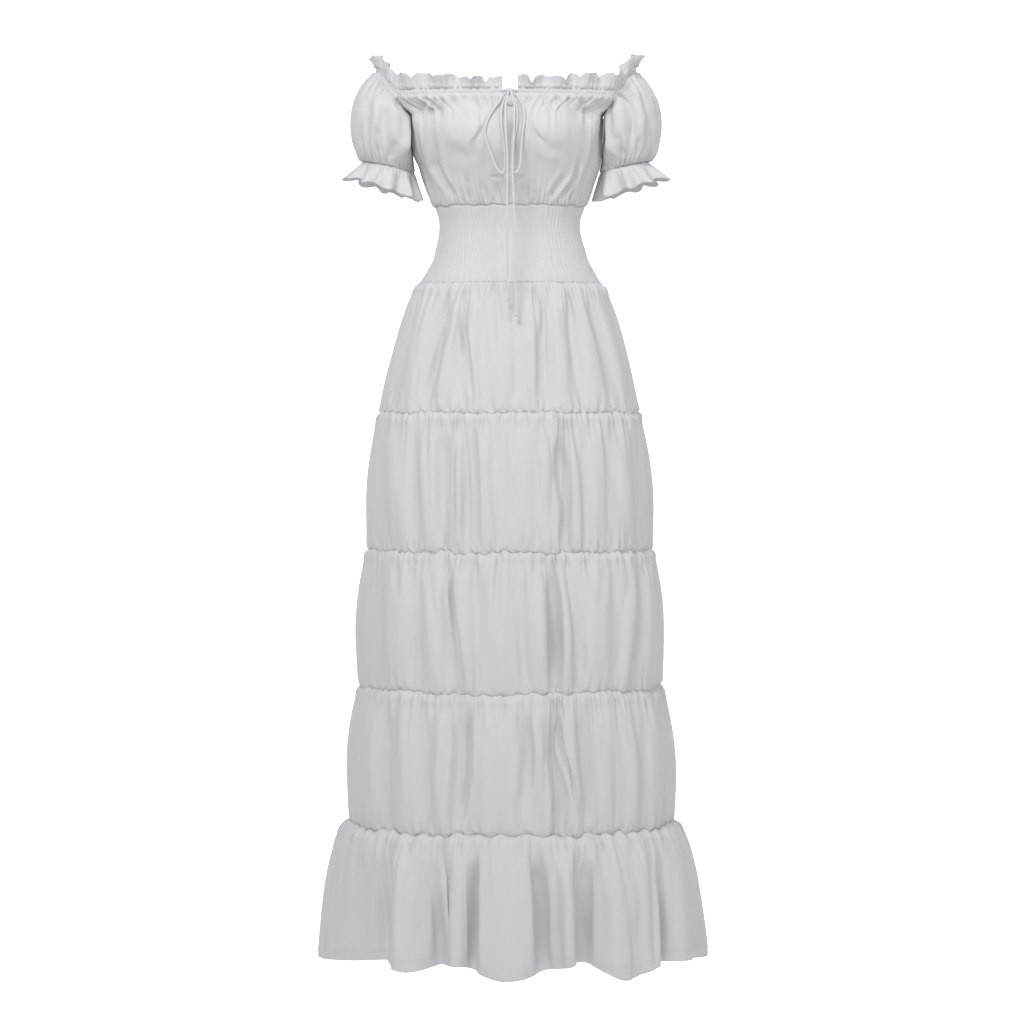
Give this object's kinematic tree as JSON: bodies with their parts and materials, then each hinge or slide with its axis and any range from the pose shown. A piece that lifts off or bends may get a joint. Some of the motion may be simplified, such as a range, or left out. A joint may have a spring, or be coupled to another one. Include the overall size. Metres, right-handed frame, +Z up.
{
  "type": "maxi dress",
  "caption": "Long off-the-shoulder dress with a drawstring keyhole neckline, short puff sleeves, a shirred waist and a tiered, gathered skirt.",
  "frame": {"origin": "middle of the narrowest ring of the shirred waist, where the wearer holds the dress up", "axes": "+Z up along the dress from hem to neckline, the front faces -Y, +X to the right in a view of the front"},
  "size_m": [0.586, 0.4929, 1.3529],
  "materials": {
    "cloth": "matte plain-weave cotton, slightly crinkled",
    "trim": "matte turned edge and round woven drawstring"
  },
  "bodies": {
    "root": {"neck_casing": "cloth", "neck_frill": "cloth", "bodice_front_left": "cloth", "keyhole_edge_left": "trim", "bodice_front_right": "cloth", "keyhole_edge_right": "trim", "bodice_back": "cloth", "waist_front": "cloth", "waist_back": "cloth", "sleeve_right": "cloth", "cuff_frill_right": "cloth", "sleeve_left": "cloth", "cuff_frill_left": "cloth", "tier_1_front": "cloth", "tier_1_back": "cloth", "tier_2_front": "cloth", "tier_2_back": "cloth", "tier_3_front": "cloth", "tier_3_back": "cloth", "tier_4_front": "cloth", "tier_4_back": "cloth", "tier_5_front": "cloth", "tier_5_back": "cloth", "tie_knot": "trim", "tie_loop_left": "trim", "tie_loop_right": "trim", "tie_end_left": "trim", "tie_end_right": "trim", "tie_tip_left": "trim", "tie_tip_right": "trim"}
  },
  "joints": []
}
